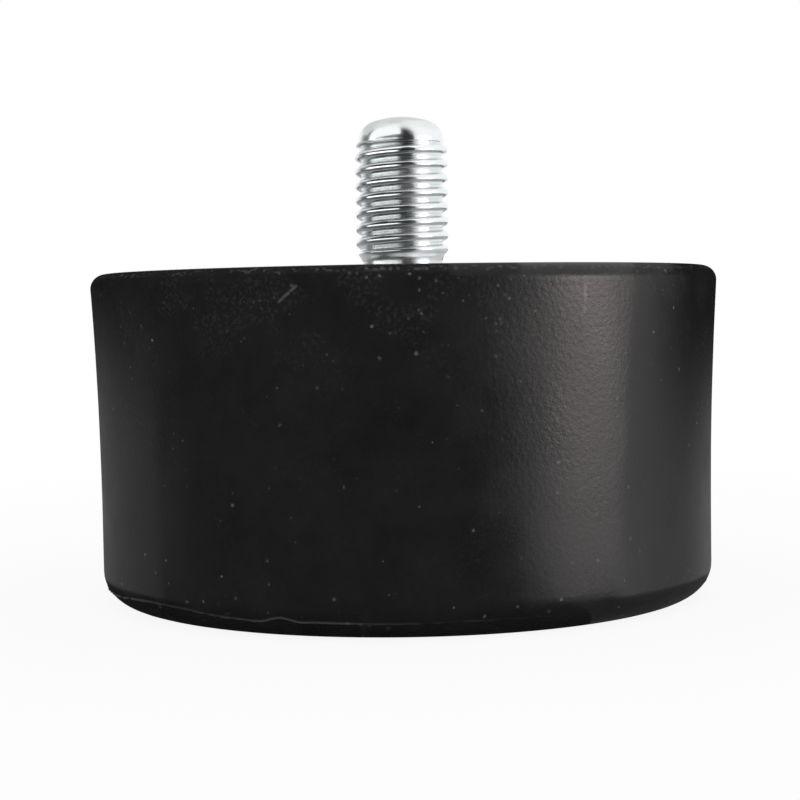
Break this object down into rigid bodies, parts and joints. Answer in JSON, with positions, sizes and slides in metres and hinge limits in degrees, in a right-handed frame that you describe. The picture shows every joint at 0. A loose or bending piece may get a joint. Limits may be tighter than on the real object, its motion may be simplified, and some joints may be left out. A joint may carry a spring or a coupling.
{
  "type": "anti-vibration mount",
  "caption": "Round rubber anti-vibration mount: a moulded rubber cylinder bonded to a steel end plate with a threaded stud, and a plain rubber face at the other end.",
  "frame": {"origin": "centre of the rubber's lower face, on the stud's axis", "axes": "+Z along the stud, from the plain rubber face towards the stud's tip; X and Y across, and alike because the mount is round"},
  "size_m": [0.0656, 0.0656, 0.0502],
  "materials": {
    "rubber": "moulded, satin, with a fine grain",
    "plate_steel": "zinc plated sheet",
    "stud_steel": "bright zinc plated, rolled thread"
  },
  "bodies": {
    "root": {"rubber_body": "rubber", "end_plate": "plate_steel", "threaded_stud": "stud_steel"}
  },
  "joints": []
}
